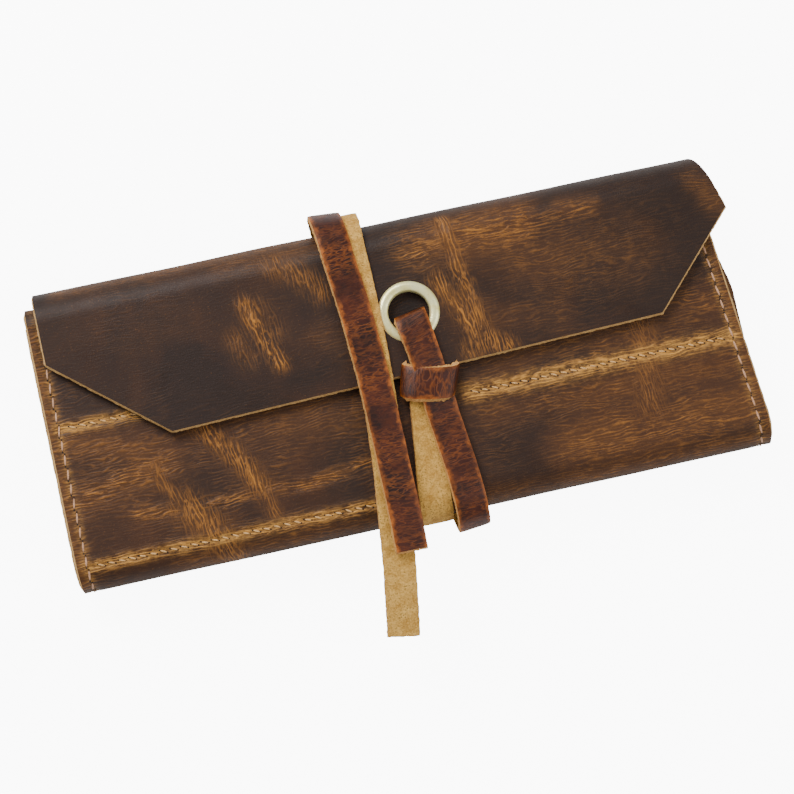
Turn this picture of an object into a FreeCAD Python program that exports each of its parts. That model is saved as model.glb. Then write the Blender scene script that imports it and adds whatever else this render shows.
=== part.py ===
import FreeCAD, Part
import math
import os

# Leather brush roll, rolled up flat and tied. Millimetres.
# +X runs along the roll, +Y towards the fold that the flap comes over, +Z up.
# The origin is on the underside of the strap that the roll lies on.

# ---- driving sizes ----------------------------------------------------------------
ROLL_LENGTH = 280.0
CASE_DEPTH = 118.0
LEATHER = 1.6
POCKET_LEATHER = 1.2
POCKET_ROOM = 4.5
LAYER_GAP = 0.3
ASKEW = 3.5

FLAP_REACH = 49.85
FLAP_EDGE_RISE = 4.6
LEFT_CHAMFER = (43.6, 36.3)
RIGHT_CHAMFER = (35.0, 41.0)
FOLD_HALF_OPEN = 45.0

LEFT_POCKET_DEPTH = 147.0
RIGHT_POCKET_DEPTH = 114.0
LEFT_POCKET_WIDTH = 53.75
RIGHT_POCKET_WIDTH = 33.75
SEAM_WIDTH = 1.6
EDGE_SEAM_WIDTH = 6.0
INNER_PANEL_OVERHANG = 2.25
TRAY_INSET = 1.75

THREAD_WIDTH = 1.0
THREAD_PROUD = 0.25
EDGE_THREAD_INSET = 4.0

STRAP_WIDTH = 12.7
STRAP = 1.8
STRAP_GAP = 0.3

GROMMET_TO_STRAP = 1.55
GROMMET_ABOVE_EDGE = 27.0
GROMMET_OUTER_R = 12.0
GROMMET_BORE_R = 8.5
GROMMET_WALL = 0.55
GROMMET_DOME = 0.9
WASHER = 0.8
GROMMET_CLEARANCE = 0.1

KNOT_WIDTH = 23.0
KNOT_SLACK = 0.7
KNOT_LENGTH = 12.2
KNOT_ABOVE_EDGE = 1.2
KNOT_ASIDE = 2.4
LOOP_TURN_WIDTH = 11.0
LOOP_IN_HOLE = 2.1
LOOP_OVER_RING = 0.2
LOOP_BENDS_BELOW_FLAP = 5.5

INNER_END_OVERHANG = 44.0
OUTER_END_OVERHANG = 12.0
INNER_END_X = (-8.9, -10.9, -21.0)
OUTER_END_X = (-14.0, -10.2, -10.5)
INNER_END_BEND_AT = 62.0
OUTER_END_BEND_AT = 47.0
OVER_TOP_STANDOFF = 4.4

# ---- sizes that follow ------------------------------------------------------------
FLAP_ROOM = STRAP + WASHER + 2 * STRAP_GAP
KNOT_HEIGHT = 4 * STRAP + KNOT_SLACK
OUTER_RUN_Z = 0.0
INNER_RUN_Z = OUTER_RUN_Z + STRAP + STRAP_GAP
BACK_Z = INNER_RUN_Z + STRAP + LAYER_GAP
BACK_POCKET_Z = BACK_Z + LEATHER + POCKET_ROOM
INNER_Z = BACK_POCKET_Z + POCKET_LEATHER + LAYER_GAP
INNER_POCKET_Z = INNER_Z + LEATHER + POCKET_ROOM
FRONT_POCKET_Z = INNER_POCKET_Z + POCKET_LEATHER + LAYER_GAP
FRONT_Z = FRONT_POCKET_Z + POCKET_LEATHER + POCKET_ROOM
FRONT_TOP = FRONT_Z + LEATHER
FLAP_Z = FRONT_TOP + FLAP_ROOM
FLAP_TOP = FLAP_Z + LEATHER
INNER_END_Z = FLAP_TOP + STRAP_GAP
OUTER_END_Z = INNER_END_Z + STRAP + STRAP_GAP
ALL_TOP = OUTER_END_Z + STRAP

HALF = ROLL_LENGTH / 2
BOTTOM_R = (FRONT_TOP - BACK_Z) / 2
BOTTOM_Y = -CASE_DEPTH / 2 + BOTTOM_R
BOTTOM_Z = (FRONT_TOP + BACK_Z) / 2
TOP_R = (FLAP_TOP - BACK_Z) / 2
TOP_Y = CASE_DEPTH / 2 - TOP_R
TOP_Z = (FLAP_TOP + BACK_Z) / 2
INNER_R = (FRONT_TOP - INNER_Z) / 2
INNER_FOLD_Z = (FRONT_TOP + INNER_Z) / 2
INNER_REACH = TOP_R - LEATHER - LAYER_GAP - INNER_R
INNER_FOLD_Y = TOP_Y + math.sqrt(INNER_REACH ** 2 - (INNER_FOLD_Z - TOP_Z) ** 2)

# the leather is rolled slightly askew: each turn starts a little further along X
BOTTOM_SHIFT = 0.15 * ASKEW
BACK_SHIFT = 0.3 * ASKEW
TOP_SHIFT = 0.65 * ASKEW
FLAP_SHIFT = ASKEW

FLAP_LEFT = FLAP_SHIFT - HALF
FLAP_RIGHT = FLAP_SHIFT + HALF
FLAP_LEFT_Y = TOP_Y - FLAP_REACH
FLAP_RIGHT_Y = FLAP_LEFT_Y + FLAP_EDGE_RISE
GROMMET_X = INNER_END_X[1] + STRAP_WIDTH / 2 + GROMMET_TO_STRAP + GROMMET_OUTER_R
GROMMET_Y = FLAP_LEFT_Y + GROMMET_ABOVE_EDGE
KNOT_X = GROMMET_X + KNOT_ASIDE
KNOT_TOP_Y = FLAP_LEFT_Y + KNOT_ABOVE_EDGE

LEFT_MOUTH_X = LEFT_POCKET_DEPTH - HALF
RIGHT_MOUTH_X = HALF - RIGHT_POCKET_DEPTH
DIVIDER_LEFT_Y = BOTTOM_Y + LEFT_POCKET_WIDTH
DIVIDER_RIGHT_Y = BOTTOM_Y + RIGHT_POCKET_WIDTH
INNER_PANEL_END_Y = BOTTOM_Y - INNER_PANEL_OVERHANG
TRAY_BOTTOM_Y = BOTTOM_Y + TRAY_INSET

SUEDE_TAIL_Z = FRONT_TOP + STRAP_GAP
SMOOTH_TAIL_Z = SUEDE_TAIL_Z + STRAP + STRAP_GAP
SUEDE_BEND_R = BOTTOM_R + STRAP_GAP
SMOOTH_BEND_R = SUEDE_BEND_R + STRAP + STRAP_GAP
SUEDE_BEND_X = 3.2
SMOOTH_BEND_X = 17.2
BEND_OPEN = 1.0

OVER_TOP_Z = (FLAP_TOP + BACK_Z) / 2
OVER_TOP_Y = TOP_Y + OVER_TOP_STANDOFF
INNER_OVER_R = (INNER_END_Z - INNER_RUN_Z - STRAP) / 2
OUTER_OVER_R = (OUTER_END_Z - OUTER_RUN_Z - STRAP) / 2
STRAP_HINGE_Y = TOP_Y + 1.65
INNER_OVER_X = INNER_END_X[0]
OUTER_OVER_X = OUTER_END_X[0]
END_OPEN = 1.2


# ---- shapes -----------------------------------------------------------------------
def point(x, y, z):
    return FreeCAD.Vector(x, y, z)


def block(x0, x1, y0, y1, z0, z1):
    return Part.makeBox(x1 - x0, y1 - y0, z1 - z0, point(x0, y0, z0))


def plate(outline, z0, thick):
    """A flat sheet: a plan outline of (x, y) corners, lifted to z0."""
    corners = [point(x, y, z0) for x, y in outline]
    wire = Part.makePolygon(corners + corners[:1])
    return Part.Face(wire).extrude(point(0, 0, thick))


def bend(x0, x1, cy, cz, r_in, thick, start, stop):
    """A sheet bent about a line along X. Angles in degrees, from +Y towards +Z."""
    def at(r, degrees):
        a = math.radians(degrees)
        return point(x0, cy + r * math.cos(a), cz + r * math.sin(a))

    middle = (start + stop) / 2
    r_out = r_in + thick
    outer = Part.Arc(at(r_out, start), at(r_out, middle), at(r_out, stop)).toShape()
    inner = Part.Arc(at(r_in, stop), at(r_in, middle), at(r_in, start)).toShape()
    end = Part.LineSegment(at(r_out, stop), at(r_in, stop)).toShape()
    begin = Part.LineSegment(at(r_in, start), at(r_out, start)).toShape()
    face = Part.Face(Part.Wire([outer, end, inner, begin]))
    return face.extrude(point(x1 - x0, 0, 0))


def fuse(shapes):
    whole = shapes[0]
    for extra in shapes[1:]:
        whole = whole.fuse(extra)
    return whole.removeSplitter()


def straight_strap(start, stop, z0, width=STRAP_WIDTH):
    """A strap lying flat, from one centre point (x, y) to another."""
    (xa, ya), (xb, yb) = start, stop
    half = width / 2
    outline = [(xa - half, ya), (xa + half, ya), (xb + half, yb), (xb - half, yb)]
    return plate(outline, z0, STRAP)


def curved_strap(start, middle, stop, z0):
    """A strap lying flat along the arc through three centre points, square at its ends."""
    arc = Part.Arc(point(*start, z0), point(*middle, z0), point(*stop, z0))
    centre = arc.toShape().Curve.Center
    half = STRAP_WIDTH / 2

    def offset(xy, by):
        out = (point(*xy, z0) - centre).normalize()
        return point(*xy, z0) + out * by

    near = Part.Arc(*[offset(p, -half) for p in (start, middle, stop)]).toShape()
    far = Part.Arc(*[offset(p, half) for p in (stop, middle, start)]).toShape()
    tip = Part.LineSegment(offset(stop, -half), offset(stop, half)).toShape()
    root = Part.LineSegment(offset(start, half), offset(start, -half)).toShape()
    return Part.Face(Part.Wire([near, tip, far, root])).extrude(point(0, 0, STRAP))


def save(name, shape):
    shape.exportStep("parts/" + name + ".step")


# ---- the wrap: one hide, in its folds and panels ----------------------------------
def back_panel():
    flat = block(BACK_SHIFT - HALF, BACK_SHIFT + HALF, BOTTOM_Y, TOP_Y, BACK_Z, BACK_Z + LEATHER)
    curl = bend(BACK_SHIFT - HALF, BACK_SHIFT + HALF, TOP_Y, TOP_Z, TOP_R - LEATHER,
                LEATHER, -90, -FOLD_HALF_OPEN)
    return fuse([flat, curl])


def bottom_fold():
    return bend(BOTTOM_SHIFT - HALF, BOTTOM_SHIFT + HALF, BOTTOM_Y, BOTTOM_Z,
                BOTTOM_R - LEATHER, LEATHER, 90, 270)


def front_panel():
    return block(-HALF, HALF, BOTTOM_Y, INNER_FOLD_Y, FRONT_Z, FRONT_TOP)


def inner_fold():
    return bend(-HALF, HALF, INNER_FOLD_Y, INNER_FOLD_Z, INNER_R - LEATHER, LEATHER, -90, 90)


def inner_panel():
    return block(-HALF, HALF, INNER_PANEL_END_Y, INNER_FOLD_Y, INNER_Z, INNER_Z + LEATHER)


def top_fold():
    return bend(TOP_SHIFT - HALF, TOP_SHIFT + HALF, TOP_Y, TOP_Z, TOP_R - LEATHER,
                LEATHER, -FOLD_HALF_OPEN, FOLD_HALF_OPEN)


def flap_panel():
    dx_left, dy_left = LEFT_CHAMFER
    dx_right, dy_right = RIGHT_CHAMFER
    outline = [
        (FLAP_LEFT, TOP_Y),
        (FLAP_LEFT, FLAP_LEFT_Y + dy_left),
        (FLAP_LEFT + dx_left, FLAP_LEFT_Y),
        (FLAP_RIGHT - dx_right, FLAP_RIGHT_Y),
        (FLAP_RIGHT, FLAP_RIGHT_Y + dy_right),
        (FLAP_RIGHT, TOP_Y),
    ]
    sheet = plate(outline, FLAP_Z, LEATHER)
    curl = bend(FLAP_LEFT, FLAP_RIGHT, TOP_Y, TOP_Z, TOP_R - LEATHER, LEATHER,
                FOLD_HALF_OPEN, 90)
    hole_r = GROMMET_BORE_R + GROMMET_WALL + GROMMET_CLEARANCE
    hole = Part.makeCylinder(hole_r, 3 * LEATHER, point(GROMMET_X, GROMMET_Y, FLAP_Z - LEATHER))
    return fuse([sheet, curl]).cut(hole)


# ---- pockets: lighter leather sewn inside each panel, open towards the middle ------
def pocket_tray(x_closed, x_mouth, panel_z, sheet_z, y_top, divider_y):
    """Pocket leather with its sewn walls: panel_z is the panel's face, sheet_z the pocket's inner face."""
    z_low = min(panel_z, sheet_z)
    z_high = max(panel_z, sheet_z)
    towards = 1 if sheet_z > panel_z else -1
    skin_low = min(sheet_z, sheet_z + towards * POCKET_LEATHER)
    x0 = min(x_closed, x_mouth)
    x1 = max(x_closed, x_mouth)
    skin = block(x0, x1, TRAY_BOTTOM_Y, y_top, skin_low, skin_low + POCKET_LEATHER)
    walls = [
        block(x0, x1, TRAY_BOTTOM_Y, TRAY_BOTTOM_Y + SEAM_WIDTH, z_low, z_high),
        block(x0, x1, divider_y - SEAM_WIDTH / 2, divider_y + SEAM_WIDTH / 2, z_low, z_high),
        block(x0, x1, y_top - SEAM_WIDTH, y_top, z_low, z_high),
    ]
    if x_closed < x_mouth:
        walls.append(block(x0, x0 + EDGE_SEAM_WIDTH, TRAY_BOTTOM_Y, y_top, z_low, z_high))
    else:
        walls.append(block(x1 - EDGE_SEAM_WIDTH, x1, TRAY_BOTTOM_Y, y_top, z_low, z_high))
    return fuse([skin] + walls)


def pockets():
    """The three layers of pockets at each end: (layer, panel face, pocket's inner face, top edge, shift)."""
    layers = [
        ("back", BACK_Z + LEATHER, BACK_POCKET_Z, TOP_Y - LAYER_GAP, BACK_SHIFT),
        ("inner", INNER_Z + LEATHER, INNER_POCKET_Z, INNER_FOLD_Y - SEAM_WIDTH, 0.0),
        ("front", FRONT_Z, FRONT_POCKET_Z + POCKET_LEATHER, INNER_FOLD_Y - SEAM_WIDTH, 0.0),
    ]
    made = {}
    for layer, panel_z, sheet_z, y_top, shift in layers:
        made["left_pockets_" + layer] = pocket_tray(
            shift - HALF, shift + LEFT_MOUTH_X, panel_z, sheet_z, y_top, DIVIDER_LEFT_Y)
        made["right_pockets_" + layer] = pocket_tray(
            shift + HALF, shift + RIGHT_MOUTH_X, panel_z, sheet_z, y_top, DIVIDER_RIGHT_Y)
    return made


# ---- thread -----------------------------------------------------------------------
def edge_thread(x):
    """One line of thread along a side edge: over the front, round the bottom fold and along the back."""
    x0 = x - THREAD_WIDTH / 2
    x1 = x + THREAD_WIDTH / 2
    front = block(x0, x1, BOTTOM_Y, INNER_FOLD_Y, FRONT_TOP, FRONT_TOP + THREAD_PROUD)
    under = block(x0, x1, BOTTOM_Y, TOP_Y, BACK_Z - THREAD_PROUD, BACK_Z)
    round_fold = bend(x0, x1, BOTTOM_Y, BOTTOM_Z, BOTTOM_R, THREAD_PROUD, 90, 270)
    return fuse([front, round_fold, under])


def divider_thread(x0, x1, y):
    """The thread of one pocket divider, where it shows on the front and on the back."""
    y0 = y - THREAD_WIDTH / 2
    y1 = y + THREAD_WIDTH / 2
    front = block(x0, x1, y0, y1, FRONT_TOP, FRONT_TOP + THREAD_PROUD)
    back = block(x0, x1, y0, y1, BACK_Z - THREAD_PROUD, BACK_Z)
    return Part.makeCompound([front, back])


def threads():
    inset = HALF - EDGE_THREAD_INSET
    return {
        "left_edge_stitching": edge_thread(-inset),
        "right_edge_stitching": edge_thread(inset),
        "left_divider_stitching": divider_thread(
            THREAD_WIDTH - inset, LEFT_MOUTH_X, DIVIDER_LEFT_Y),
        "right_divider_stitching": divider_thread(
            RIGHT_MOUTH_X, inset - THREAD_WIDTH, DIVIDER_RIGHT_Y),
    }


# ---- grommet: a domed ring with a barrel, clinched over a washer -------------------
def ring_about_grommet(profile):
    """Turns a closed profile of (radius, z) corners about the grommet's axis."""
    corners = [point(GROMMET_X + r, GROMMET_Y, z) for r, z in profile]
    face = Part.Face(Part.makePolygon(corners + corners[:1]))
    return face.revolve(point(GROMMET_X, GROMMET_Y, 0), point(0, 0, 1), 360)


def grommet_face():
    barrel_r = GROMMET_BORE_R + GROMMET_WALL
    washer_bottom = FLAP_Z - WASHER
    shoulder = (GROMMET_OUTER_R - GROMMET_BORE_R) / 4
    profile = [
        (GROMMET_BORE_R, washer_bottom),
        (barrel_r, washer_bottom),
        (barrel_r, FLAP_TOP),
        (GROMMET_OUTER_R, FLAP_TOP),
        (GROMMET_OUTER_R - shoulder / 2, FLAP_TOP + 0.6 * GROMMET_DOME),
        (GROMMET_OUTER_R - 1.5 * shoulder, FLAP_TOP + GROMMET_DOME),
        (GROMMET_BORE_R + 1.5 * shoulder, FLAP_TOP + GROMMET_DOME),
        (GROMMET_BORE_R + shoulder / 2, FLAP_TOP + 0.6 * GROMMET_DOME),
        (GROMMET_BORE_R, FLAP_TOP - LEATHER / 4),
    ]
    return ring_about_grommet(profile)


def grommet_washer():
    inner = GROMMET_BORE_R + GROMMET_WALL + GROMMET_CLEARANCE / 2
    z0 = FLAP_Z - WASHER
    return ring_about_grommet(
        [(inner, z0), (GROMMET_OUTER_R, z0), (GROMMET_OUTER_R, FLAP_Z), (inner, FLAP_Z)])


# ---- tie: loop through the grommet, knot, and two tails ----------------------------
LOOP_TURN_Y = GROMMET_Y - GROMMET_BORE_R + LOOP_IN_HOLE
LOOP_LOW_Z = SUEDE_TAIL_Z + STRAP / 2
LOOP_INNER_R = (FLAP_TOP + GROMMET_DOME + LOOP_OVER_RING - SUEDE_TAIL_Z - STRAP) / 2
LOOP_TURN_Z = SUEDE_TAIL_Z + STRAP + LOOP_INNER_R
LOOP_HIGH_Z = LOOP_TURN_Z + LOOP_INNER_R + STRAP / 2
LOOP_TURN_X = GROMMET_X + 0.3
KNOT_Z = FRONT_TOP + STRAP_GAP
KNOT_LOW_LAYER_Z = KNOT_Z + 1.5 * STRAP + 0.05
KNOT_HIGH_LAYER_Z = KNOT_LOW_LAYER_Z + STRAP + STRAP_GAP
TAIL_START_Y = KNOT_TOP_Y - KNOT_LENGTH - 0.5


def loop_leg(heights, x_turn, x_knot):
    """One leg of the loop: (y, middle height) stations from the grommet down into the knot."""
    upper = [point(0, y, z + STRAP / 2) for y, z in heights]
    lower = [point(0, y, z - STRAP / 2) for y, z in reversed(heights)]
    corners = upper + lower
    face = Part.Face(Part.makePolygon(corners + corners[:1]))
    slab = face.extrude(point(ROLL_LENGTH, 0, 0))
    slab.translate(point(-HALF, 0, 0))
    y_turn = heights[0][0]
    y_knot = heights[-1][0]
    wide = LOOP_TURN_WIDTH / 2
    knot_half = STRAP_WIDTH / 2
    outline = [
        (x_turn - wide, y_turn),
        (x_turn + wide, y_turn),
        (x_knot + knot_half, y_knot),
        (x_knot - knot_half, y_knot),
    ]
    column = plate(outline, 0.0, 2 * ALL_TOP)
    return slab.common(column)


def tie_loop():
    knot_end = KNOT_TOP_Y - KNOT_LENGTH
    under_flap_z = FLAP_Z - STRAP / 2 - 0.1
    front = [
        (LOOP_TURN_Y, LOOP_HIGH_Z),
        (FLAP_LEFT_Y + LOOP_BENDS_BELOW_FLAP, LOOP_HIGH_Z),
        (KNOT_TOP_Y + 0.1, KNOT_HIGH_LAYER_Z),
        (knot_end, KNOT_HIGH_LAYER_Z),
    ]
    back = [
        (LOOP_TURN_Y, LOOP_LOW_Z),
        (GROMMET_Y - GROMMET_OUTER_R - 0.3, LOOP_LOW_Z),
        (GROMMET_Y - GROMMET_OUTER_R - 3.5, under_flap_z),
        (KNOT_TOP_Y + 1.4, under_flap_z),
        (KNOT_TOP_Y + 0.1, KNOT_LOW_LAYER_Z),
        (knot_end, KNOT_LOW_LAYER_Z),
    ]
    turn = bend(LOOP_TURN_X - LOOP_TURN_WIDTH / 2, LOOP_TURN_X + LOOP_TURN_WIDTH / 2,
                LOOP_TURN_Y, LOOP_TURN_Z, LOOP_INNER_R, STRAP, -90, 90)
    return fuse([
        loop_leg(front, LOOP_TURN_X, KNOT_X + 1.5),
        turn,
        loop_leg(back, LOOP_TURN_X, KNOT_X - 0.5),
    ])


def tie_knot():
    """A band of the strap wound round both layers: a flat oval tube."""
    y0 = KNOT_TOP_Y - KNOT_LENGTH

    def oval(width, height, z0):
        straight = width - height
        body = block(KNOT_X - straight / 2, KNOT_X + straight / 2, y0, KNOT_TOP_Y, z0, z0 + height)
        ends = [
            Part.makeCylinder(height / 2, KNOT_LENGTH,
                              point(KNOT_X + side * straight / 2, y0, z0 + height / 2), point(0, 1, 0))
            for side in (-1, 1)
        ]
        return fuse([body] + ends)

    outside = oval(KNOT_WIDTH, KNOT_HEIGHT, KNOT_Z)
    inside = oval(KNOT_WIDTH - 2 * STRAP, KNOT_HEIGHT - 2 * STRAP, KNOT_Z + STRAP)
    return outside.cut(inside)


def tail_bend(x, r_in, start, stop):
    half = STRAP_WIDTH / 2
    return bend(x - half, x + half, BOTTOM_Y, BOTTOM_Z, r_in, STRAP, start, stop)


def tail_suede():
    run = straight_strap((KNOT_X - 3.4, TAIL_START_Y), (SUEDE_BEND_X, BOTTOM_Y), SUEDE_TAIL_Z)
    return fuse([run, tail_bend(SUEDE_BEND_X, SUEDE_BEND_R, 90, 180)])


def tail_smooth():
    run = straight_strap((KNOT_X + 2.2, TAIL_START_Y), (SMOOTH_BEND_X, BOTTOM_Y), SMOOTH_TAIL_Z)
    return fuse([run, tail_bend(SMOOTH_BEND_X, SMOOTH_BEND_R, 90, 180)])


# ---- strap runs under the back, over the top fold and down the front ---------------
def under_run(x_bottom, x_top, r_in, z0):
    run = straight_strap((x_bottom, BOTTOM_Y), (x_top, STRAP_HINGE_Y), z0)
    return fuse([tail_bend(x_bottom, r_in, 180 + BEND_OPEN * 2, 270), run])


def over_run(x, r_in, z_low, z_high):
    """Stands off the top fold, from the run under the back to the end on the front."""
    half = STRAP_WIDTH / 2
    y0 = STRAP_HINGE_Y + END_OPEN
    low = block(x - half, x + half, y0, OVER_TOP_Y, z_low, z_low + STRAP)
    high = block(x - half, x + half, y0, OVER_TOP_Y, z_high, z_high + STRAP)
    turn = bend(x - half, x + half, OVER_TOP_Y, OVER_TOP_Z, r_in, STRAP, -90, 90)
    return fuse([low, turn, high])


def free_end(x_stations, bend_at, overhang, z0):
    """A free end on the front: from the top fold, curving a little, to past the bottom fold."""
    x_start, x_middle, x_tip = x_stations
    return curved_strap(
        (x_start, STRAP_HINGE_Y),
        (x_middle, STRAP_HINGE_Y - bend_at),
        (x_tip, -CASE_DEPTH / 2 - overhang),
        z0)


def strap_inner_end():
    return free_end(INNER_END_X, INNER_END_BEND_AT, INNER_END_OVERHANG, INNER_END_Z)


def strap_outer_end():
    return free_end(OUTER_END_X, OUTER_END_BEND_AT, OUTER_END_OVERHANG, OUTER_END_Z)


# ---- write every piece -------------------------------------------------------------
os.makedirs("parts", exist_ok=True)

pieces = {
    "back_panel": back_panel(),
    "bottom_fold": bottom_fold(),
    "front_panel": front_panel(),
    "inner_fold": inner_fold(),
    "inner_panel": inner_panel(),
    "top_fold": top_fold(),
    "flap_panel": flap_panel(),
    "grommet_face": grommet_face(),
    "grommet_washer": grommet_washer(),
    "tie_loop": tie_loop(),
    "tie_knot": tie_knot(),
    "tail_suede": tail_suede(),
    "tail_smooth": tail_smooth(),
    "strap_inner_under": under_run(SUEDE_BEND_X, INNER_OVER_X, SUEDE_BEND_R, INNER_RUN_Z),
    "strap_outer_under": under_run(SMOOTH_BEND_X, OUTER_OVER_X, SMOOTH_BEND_R, OUTER_RUN_Z),
    "strap_inner_over": over_run(INNER_OVER_X, INNER_OVER_R, INNER_RUN_Z, INNER_END_Z),
    "strap_outer_over": over_run(OUTER_OVER_X, OUTER_OVER_R, OUTER_RUN_Z, OUTER_END_Z),
    "strap_inner_end": strap_inner_end(),
    "strap_outer_end": strap_outer_end(),
}
pieces.update(pockets())
pieces.update(threads())

for name, shape in pieces.items():
    save(name, shape)
    print(name, "solids", len(shape.Solids), "valid", shape.isValid(), "volume", round(shape.Volume, 1))
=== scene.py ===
import math
import bmesh
import bpy
import numpy as np
from mathutils import Euler, Matrix, Vector, noise


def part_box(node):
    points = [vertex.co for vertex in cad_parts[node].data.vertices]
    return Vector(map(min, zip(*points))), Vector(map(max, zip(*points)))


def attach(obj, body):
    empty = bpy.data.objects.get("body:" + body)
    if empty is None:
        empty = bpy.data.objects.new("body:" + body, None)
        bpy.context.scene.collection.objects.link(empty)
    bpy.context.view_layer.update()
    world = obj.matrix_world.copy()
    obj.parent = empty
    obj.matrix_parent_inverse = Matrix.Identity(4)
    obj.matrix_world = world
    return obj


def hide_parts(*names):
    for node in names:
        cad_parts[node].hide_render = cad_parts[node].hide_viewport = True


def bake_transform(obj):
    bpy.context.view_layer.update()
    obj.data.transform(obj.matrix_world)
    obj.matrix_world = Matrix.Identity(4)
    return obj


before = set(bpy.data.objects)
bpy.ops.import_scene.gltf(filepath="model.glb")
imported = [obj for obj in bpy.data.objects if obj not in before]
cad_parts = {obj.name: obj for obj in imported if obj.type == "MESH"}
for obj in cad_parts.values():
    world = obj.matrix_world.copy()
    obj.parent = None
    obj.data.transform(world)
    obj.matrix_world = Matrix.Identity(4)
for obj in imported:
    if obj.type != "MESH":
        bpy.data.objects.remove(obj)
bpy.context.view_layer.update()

MM = 0.001


# ---- Hide: the roll itself -----------------------------------------------------------
# One sheet of waxed pull-up hide, grain side out. It starts inside the roll, comes up round
# the inner fold, goes down the front, round the bottom fold, along the back and over the top
# fold, and ends as the flap. Each piece below is a stretch of that one sheet.
front_low, front_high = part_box("front_panel")
back_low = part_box("back_panel")[0]
inner_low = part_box("inner_panel")[0]
flap_low, flap_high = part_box("flap_panel")
top_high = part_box("top_fold")[1]

HALF = front_high.x
LEATHER = front_high.z - front_low.z
ASKEW = flap_high.x - HALF
BOTTOM_R = (front_high.z - back_low.z) / 2
TOP_R = (flap_high.z - back_low.z) / 2
INNER_R = (front_high.z - inner_low.z) / 2
BOTTOM_Y = front_low.y
FULLER = 3.4 * MM
TOP_Y = top_high.y - TOP_R + FULLER
INNER_Y = front_high.y
FLAP_CORNER_LEFT = Vector((-92.9, -4.5, 0)) * MM
FLAP_CORNER_RIGHT = Vector((108.5, 0.7, 0)) * MM
FLAP_SIDE_LEFT = 31.8 * MM
FLAP_SIDE_RIGHT = 37.6 * MM
NECK = 9.0 * MM
NECK_LENGTH = 45 * MM
NECK_FROM = 0.7
SPREAD_LEFT = 1.0 * MM
SPREAD_RIGHT = 1.6 * MM
LEAN_RIGHT = 0.081
STEP = 0.25 * MM


def route(start, heading, moves):
    """Follows straight runs and left-hand bends in the Y-Z plane. moves is (length, degrees turned)."""
    points = [(start[0], start[1], math.radians(heading))]
    for length, turn in moves:
        count = max(2, round(length / STEP))
        for _ in range(count):
            y, z, a = points[-1]
            half = a + math.radians(turn) / count / 2
            y += math.cos(half) * length / count
            z += math.sin(half) * length / count
            points.append((y, z, a + math.radians(turn) / count))
    points = np.array(points)
    lengths = np.hypot(*np.diff(points[:, :2], axis=0).T)
    return np.concatenate([[0], np.cumsum(lengths)]), points


def on_route(way, s):
    """Y, Z and heading at each distance along a route."""
    stations, points = way
    return [np.interp(s, stations, points[:, k]) for k in range(3)]


HIDE_MOVES = [
    (INNER_Y - inner_low.y, 0),
    (math.pi * INNER_R, 180),
    (INNER_Y - BOTTOM_Y, 0),
    (math.pi * BOTTOM_R, 180),
    (TOP_Y - BOTTOM_Y, 0),
    (math.pi * TOP_R / 2, 90),
    (math.pi * TOP_R / 2, 90),
    (TOP_Y - FLAP_CORNER_LEFT.y, 0),
]
HIDE_ROUTE = route((inner_low.y, inner_low.z), 0, HIDE_MOVES)
HIDE_STOPS = np.cumsum([0] + [length for length, _ in HIDE_MOVES])
(S_INNER_END, S_INNER_FOLD, S_FRONT, S_BOTTOM, S_BACK, S_TOP, S_TOP_MIDDLE, S_FLAP, S_FLAP_END) = HIDE_STOPS


def eased(share):
    """0 to 1, starting and ending gently."""
    share = np.clip(share, 0, 1)
    return share * share * (3 - 2 * share)


def plan_y(s):
    """The flat Y that a distance along the hide has, on the front (and unrolled past its folds)."""
    return np.where(s > S_TOP, TOP_Y - (s - S_FLAP), INNER_Y - (s - S_FRONT))


def hide_shift(s):
    """The sheet is rolled a little askew, so the flap lies further along X than the front."""
    return ASKEW * np.clip((s - S_BOTTOM) / (S_FLAP - S_BOTTOM), 0, 1)


def hide_x(x, s):
    """Where a line of the flat hide lies along X: askew, wider at the front, narrower at its right neck."""
    up_the_front = np.clip(INNER_Y - (s - S_FRONT) - BOTTOM_Y, 0, INNER_Y - BOTTOM_Y)
    spread = np.where(x > 0, SPREAD_RIGHT - LEAN_RIGHT * up_the_front, SPREAD_LEFT)
    spread = spread * x / HALF * np.clip((S_TOP - s) / (S_TOP - S_BACK), 0, 1)
    into_neck = eased((s - S_TOP + NECK_LENGTH) / NECK_LENGTH)
    s_ear = S_FLAP + TOP_Y - FLAP_SIDE_RIGHT
    out_of_neck = np.clip((s_ear - s) / (s_ear - S_TOP_MIDDLE), 0, 1)
    neck = NECK * into_neck * out_of_neck
    return x + hide_shift(s) + spread - neck * np.clip((x / HALF - NECK_FROM) / (1 - NECK_FROM), 0, 1)


def sheet_grid(name, across, along, cell):
    """A flat grid on the cutting table: x across the hide, y the distance along it."""
    bm = bmesh.new()
    nx = round((across[1] - across[0]) / cell)
    ny = round((along[1] - along[0]) / cell)
    bmesh.ops.create_grid(bm, x_segments=nx, y_segments=ny, size=0.5)
    middle = Vector(((across[0] + across[1]) / 2, (along[0] + along[1]) / 2, 0))
    size = Vector((across[1] - across[0], along[1] - along[0], 1))
    placing = Matrix.Translation(middle) @ Matrix.Diagonal(size.to_4d())
    bmesh.ops.transform(bm, matrix=placing, verts=bm.verts)
    bmesh.ops.reverse_faces(bm, faces=bm.faces)
    return bm


def trim(bm, corner_a, corner_b):
    """Cuts off what lies on the right of the line from corner_a to corner_b."""
    line = Vector(corner_b) - Vector(corner_a)
    outward = Vector((line.y, -line.x, 0))
    geometry = bm.verts[:] + bm.edges[:] + bm.faces[:]
    bmesh.ops.bisect_plane(bm, geom=geometry, dist=1e-6, plane_co=corner_a, plane_no=outward,
                           clear_outer=True)


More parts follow.
